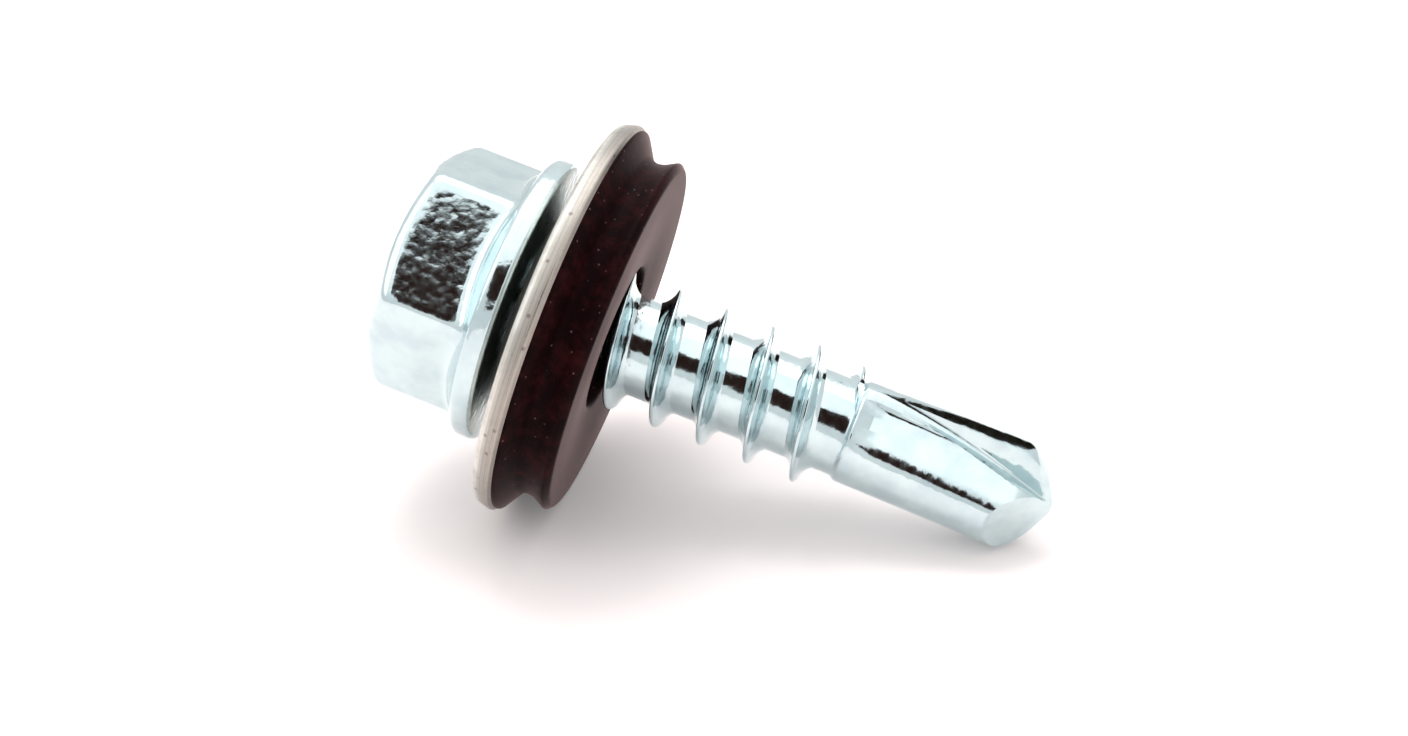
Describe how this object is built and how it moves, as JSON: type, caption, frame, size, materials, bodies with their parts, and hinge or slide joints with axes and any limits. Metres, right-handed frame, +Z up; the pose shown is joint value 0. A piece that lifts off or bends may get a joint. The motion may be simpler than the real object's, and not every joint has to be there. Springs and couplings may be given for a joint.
{
  "type": "self drilling screw",
  "caption": "Hex head self drilling screw with forged collar, coarse rolled thread, fluted drill point and a captive sealing washer of dished metal and rubber.",
  "frame": {"origin": "on the floor, under the centre of the screw's bounding box as it lies", "axes": "+Z up; the screw lies on the washer's rim and the shoulder of its drill point, with its axis in the XZ plane, running down towards the tip at +X"},
  "size_m": [0.0234, 0.0142, 0.0135],
  "materials": {
    "zinc_steel": "bright zinc plated carbon steel",
    "washer_metal": "satin galvanised steel sheet",
    "seal_rubber": "matt moulded EPDM, near black"
  },
  "bodies": {
    "screw": {"screw": "zinc_steel"},
    "washer": {"washer_disc": "washer_metal", "rubber_seal": "seal_rubber"}
  },
  "joints": [
    {"name": "washer_spin", "type": "hinge", "parent": "screw", "child": "washer", "pos_m": [-0.00608, 0, 0.00706], "axis": [0.9535, 0, -0.3012], "continuous": true}
  ]
}
